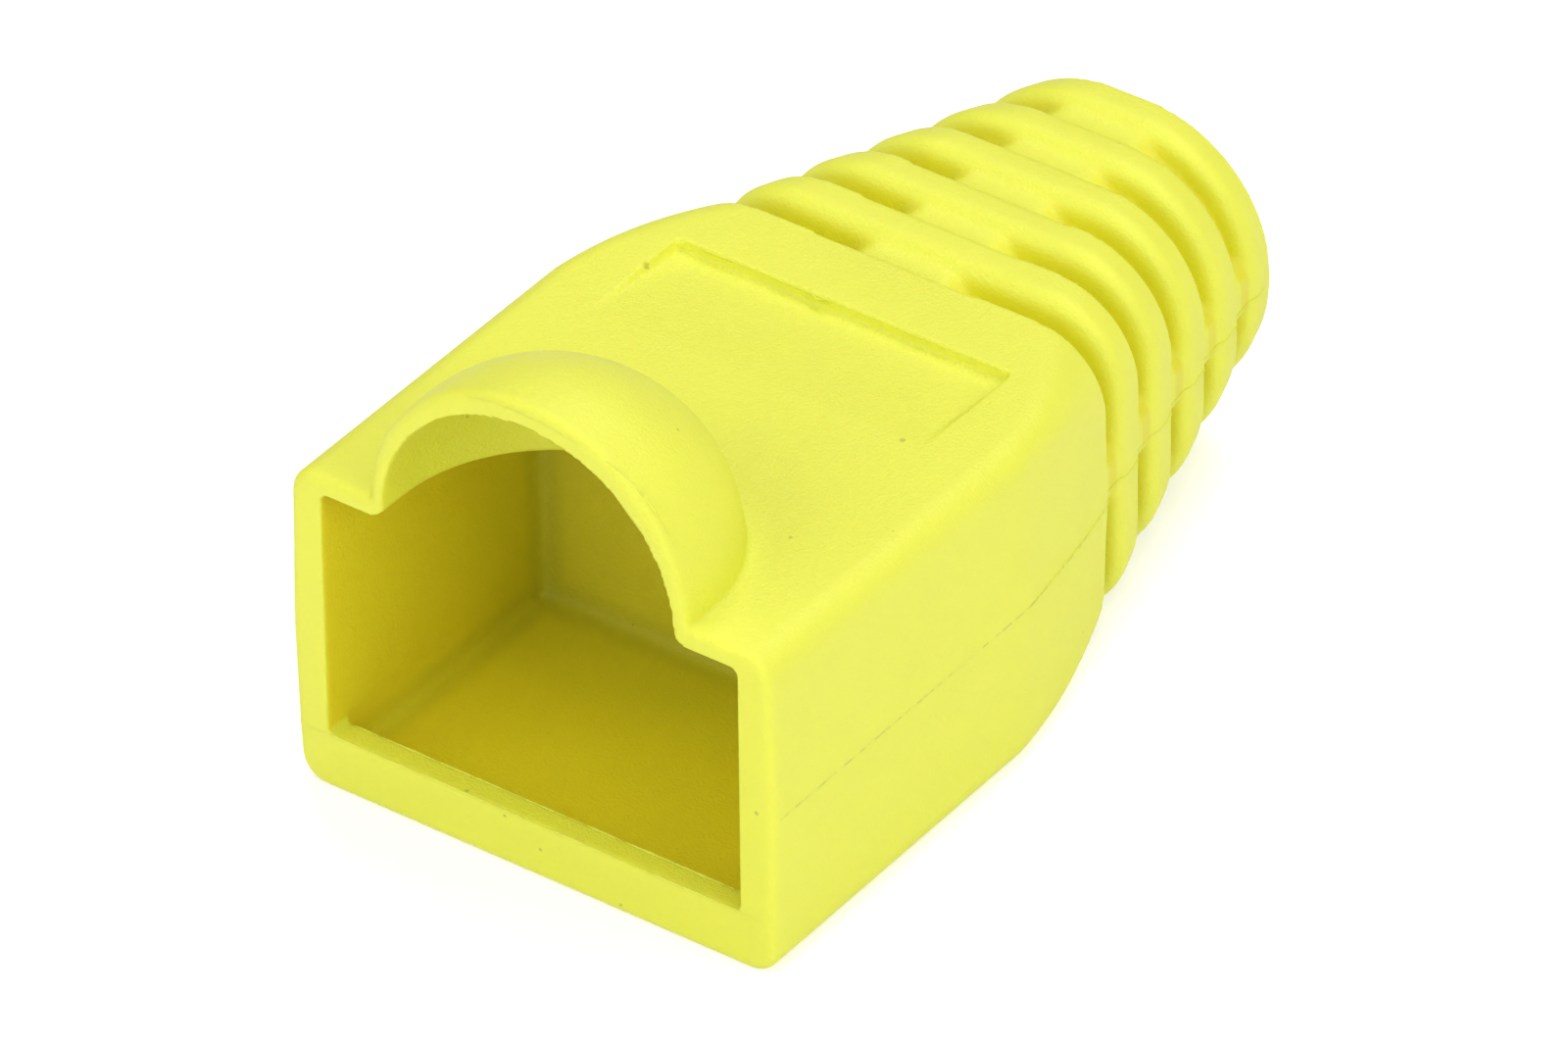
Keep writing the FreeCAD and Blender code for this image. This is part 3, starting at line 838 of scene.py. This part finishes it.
@dataclass
class MouldMarks:
    """The beads of flash that the mould left on the boot."""

    parting_height_mm: float = 4.55
    parting_start_mm: float = 0.35
    parting_end_mm: float = 24.1
    parting_step_mm: float = 0.15
    parting_sink_mm: float = 0.004
    ray_start_mm: float = 20.0
    recess_half_width_mm: float = 4.7
    recess_rear_mm: float = 12.455
    top_mm: float = 9.0
    sill_half_width_mm: float = 5.8
    sill_rear_mm: float = 0.645
    sill_top_mm: float = 1.625
    sill_sink_mm: float = 0.025
    chin_half_width_mm: float = 6.62
    chin_front_mm: float = 0.010
    recess_sink_mm: float = 0.022
    # crumb of plastic, from the middle of the recess's rear edge
    crumb_mm: Tuple[Point, ...] = (
        (-0.92, -0.03, 0.0), (-0.70, -0.10, -0.03), (-0.46, -0.04, 0.0))
    crumb_step_mm: float = 0.05
    # radius in millimetres and raggedness of each bead
    parting_bead: Tuple[float, float] = (0.030, 0.45)
    recess_bead: Tuple[float, float] = (0.020, 0.9)
    crumb_bead: Tuple[float, float] = (0.03, 0.8)
    sill_bead: Tuple[float, float] = (0.034, 0.9)
    chin_bead: Tuple[float, float] = (0.026, 0.9)
    crease_bead: Tuple[float, float] = (0.03, 0.6)
    hood_axis_mm: float = 8.95
    # crease over the hood's rim: angle from +X, radius and station
    hood_crease: Tuple[Tuple[float, float, float], ...] = (
        (117.0, 4.42, 0.07), (110.0, 4.38, 0.05), (103.0, 4.34, 0.035), (96.0, 4.30, 0.02),
        (90.0, 4.28, 0.015), (83.0, 4.275, 0.012), (76.0, 4.29, 0.015), (70.0, 4.34, 0.03),
        (64.0, 4.41, 0.07), (58.0, 4.46, 0.13), (53.0, 4.49, 0.20), (47.0, 4.495, 0.235),
        (40.0, 4.495, 0.26), (33.0, 4.495, 0.29), (26.0, 4.495, 0.31))

    def build(self, piece: bpy.types.Object,
              material: bpy.types.Material) -> List[bpy.types.Object]:
        """Make every bead.

        Args:
            piece: The moulding that carries them.
            material: The PVC.

        Returns:
            The beads.
        """
        recess_height = self.top_mm - self.recess_sink_mm
        sill_height = self.sill_top_mm - self.sill_sink_mm
        beads = [FlashBead(f"parting_bead_{side.name.lower()}", self._parting_path(piece, side),
                           *self.parting_bead) for side in Side]
        beads.append(FlashBead("recess_rear_bead", self._across(
            self.recess_half_width_mm, self.recess_rear_mm, recess_height), *self.recess_bead))
        beads.append(FlashBead("recess_crumb", [
            (x, self.recess_rear_mm + y, self.top_mm + z) for x, y, z in self.crumb_mm],
            *self.crumb_bead, step_mm=self.crumb_step_mm))
        beads.append(FlashBead("sill_rear_bead", self._across(
            self.sill_half_width_mm, self.sill_rear_mm, sill_height), *self.sill_bead))
        beads.append(FlashBead("chin_bead", self._across(
            self.chin_half_width_mm, self.chin_front_mm, self.sill_top_mm), *self.chin_bead))
        beads.append(FlashBead("hood_crease_bead", [
            (radius * math.cos(math.radians(angle)), station,
             self.hood_axis_mm + radius * math.sin(math.radians(angle)))
            for angle, radius, station in self.hood_crease], *self.crease_bead))
        return [bead.build(material) for bead in beads]

    def _across(self, half_width: float, station: float, height: float) -> List[Point]:
        """A straight path across the moulding, from left to right.

        Args:
            half_width: How far it reaches to each side, in millimetres.
            station: Its distance from the mouth.
            height: Its height.

        Returns:
            Its two ends.
        """
        return [(-half_width, station, height), (half_width, station, height)]

    def _parting_path(self, piece: bpy.types.Object, side: Side) -> List[Point]:
        """Where the parting plane meets the outside of one side.

        Args:
            piece: The moulding.
            side: The side to follow.

        Returns:
            Points in millimetres from the mouth's datum.
        """
        datum = mouth_datum()
        tree = BVHTree.FromObject(piece, bpy.context.evaluated_depsgraph_get())
        count = round((self.parting_end_mm - self.parting_start_mm) / self.parting_step_mm)
        path = []
        for number in range(count + 1):
            station = self.parting_start_mm + number * self.parting_step_mm
            start = datum + Vector((
                side.value * self.ray_start_mm, station, self.parting_height_mm)) * MM
            hit = tree.ray_cast(start, Vector((-side.value, 0.0, 0.0)))[0]
            if hit is not None:
                place = (hit - datum) / MM
                path.append((place.x - side.value * self.parting_sink_mm, station,
                             self.parting_height_mm))
        return path


@dataclass(frozen=True)
class AreaLamp:
    """A rectangular soft box aimed at the object's middle."""

    name: str
    azimuth_deg: float
    elevation_deg: float
    distance_m: float
    width_m: float
    height_m: float
    power_w: float
    colour: Tuple[float, float, float] = SOFT_WHITE

    def build(self, target: Vector) -> bpy.types.Object:
        """Make the lamp.

        Args:
            target: The point it faces.

        Returns:
            The lamp object.
        """
        azimuth, elevation = math.radians(self.azimuth_deg), math.radians(self.elevation_deg)
        back = Vector((math.sin(azimuth) * math.cos(elevation),
                       -math.cos(azimuth) * math.cos(elevation), math.sin(elevation)))
        data = bpy.data.lights.new(self.name, "AREA")
        data.shape = "RECTANGLE"
        data.size, data.size_y = self.width_m, self.height_m
        data.energy = self.power_w
        data.color = self.colour
        lamp = bpy.data.objects.new(self.name, data)
        bpy.context.scene.collection.objects.link(lamp)
        lamp.location = target + back * self.distance_m
        lamp.rotation_mode = "QUATERNION"
        lamp.rotation_quaternion = (-back).to_track_quat("-Z", "Y")
        return lamp


@dataclass
class Studio:
    """White paper, an even white surround and soft boxes."""

    paper: StudioPaper = field(default_factory=StudioPaper)
    floor_size_m: float = 6.0
    surround: float = 0.02
    lamps: Sequence[AreaLamp] = (
        AreaLamp("key_soft_box", 35.0, 50.0, 0.55, 0.35, 0.35, 0.76, COOL_WHITE),
        AreaLamp("side_soft_box", 80.0, 28.0, 0.60, 0.45, 0.35, 1.78),
        AreaLamp("side_top_soft_box", 95.0, 60.0, 0.55, 0.40, 0.40, 0.30),
        AreaLamp("front_soft_box", 10.0, 14.0, 0.60, 0.45, 0.30, 0.80),
        AreaLamp("front_left_soft_box", -25.0, 30.0, 0.60, 0.40, 0.35, 0.96),
        AreaLamp("left_soft_box", -55.0, 40.0, 0.60, 0.40, 0.40, 0.98),
        AreaLamp("back_soft_box", 200.0, 60.0, 0.60, 0.40, 0.40, 2.20, COOL_WHITE),
        AreaLamp("back_right_soft_box", 130.0, 50.0, 0.60, 0.40, 0.40, 0.68),
    )

    def build(self) -> List[bpy.types.Object]:
        """Make the floor, the surround and the lamps.

        Returns:
            The floor and the lamps.
        """
        low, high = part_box(NODE)
        target = (low + high) / 2
        bpy.ops.object.select_all(action="DESELECT")
        bpy.ops.mesh.primitive_plane_add(size=self.floor_size_m, location=(0, 0, 0))
        floor = bpy.context.active_object
        floor.name = "studio_floor"
        floor.data.materials.append(self.paper.build())
        self._surround()
        return [floor] + [lamp.build(target) for lamp in self.lamps]

    def _surround(self) -> None:
        """Even light from all round, and plain white where the camera looks past the floor."""
        world = bpy.data.worlds.new("studio_surround")
        world.use_nodes = True
        bpy.context.scene.world = world
        tree = world.node_tree
        tree.nodes.clear()
        ray = add_node(tree, "ShaderNodeLightPath")
        light = add_node(tree, "ShaderNodeBackground", {
            "Color": (*SOFT_WHITE, 1.0), "Strength": self.surround})
        seen = add_node(tree, "ShaderNodeBackground", {
            "Color": (1.0, 1.0, 1.0, 1.0), "Strength": 1.0})
        mixed = add_node(tree, "ShaderNodeMixShader", links={
            0: ray.outputs["Is Camera Ray"], 1: light.outputs[0], 2: seen.outputs[0]})
        add_node(tree, "ShaderNodeOutputWorld", links={"Surface": mixed.outputs[0]})


@dataclass(frozen=True)
class TeleCamera:
    """A long lens from the front right, above the mouth."""

    azimuth_deg: float = 36.039
    elevation_deg: float = 36.129
    roll_deg: float = -0.653
    distance_mm: float = 349.089
    lens_mm: float = 342.50
    sensor_mm: float = 36.0
    aim_from_middle_mm: Point = (0.0393, -2.2014, -2.4701)
    near_m: float = 0.01
    far_m: float = 20.0

    def build(self) -> bpy.types.Object:
        """Make the camera and give it to the scene.

        Returns:
            The camera object.
        """
        low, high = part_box(NODE)
        aim = (low + high) / 2 + Vector(self.aim_from_middle_mm) * MM
        azimuth, elevation = math.radians(self.azimuth_deg), math.radians(self.elevation_deg)
        back = Vector((math.sin(azimuth) * math.cos(elevation),
                       -math.cos(azimuth) * math.cos(elevation), math.sin(elevation)))
        data = bpy.data.cameras.new("tele_camera")
        data.lens, data.sensor_width = self.lens_mm, self.sensor_mm
        data.clip_start, data.clip_end = self.near_m, self.far_m
        camera = bpy.data.objects.new("tele_camera", data)
        bpy.context.scene.collection.objects.link(camera)
        right = (-back).cross(Vector((0.0, 0.0, 1.0))).normalized()
        up = right.cross(-back).normalized()
        roll = math.radians(self.roll_deg)
        turned_right = right * math.cos(roll) + up * math.sin(roll)
        turned_up = up * math.cos(roll) - right * math.sin(roll)
        turn = Matrix((turned_right, turned_up, back)).transposed()
        camera.matrix_world = Matrix.Translation(aim + back * self.distance_mm * MM) @ turn.to_4x4()
        bpy.context.scene.camera = camera
        return camera


def plain_colours() -> None:
    """Show colours as written."""
    settings = bpy.context.scene.view_settings
    settings.view_transform = "Standard"


def main() -> None:
    """Build the scene in order and report each piece."""
    logging.basicConfig(level=logging.INFO, format="%(name)s: %(message)s")
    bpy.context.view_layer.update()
    pvc = SparkErodedPvc().build()
    LOG.info("material %s", pvc.name)
    piece = Moulding().build(pvc)
    LOG.info("piece %s with %d polygons", piece.name, len(piece.data.polygons))
    for bead in MouldMarks().build(piece, pvc):
        LOG.info("piece %s with %d polygons", bead.name, len(bead.data.polygons))
    for stage in Studio().build():
        LOG.info("stage %s", stage.name)
    camera = TeleCamera().build()
    LOG.info("camera %s", camera.name)
    plain_colours()


if __name__ == "__main__":
    main()
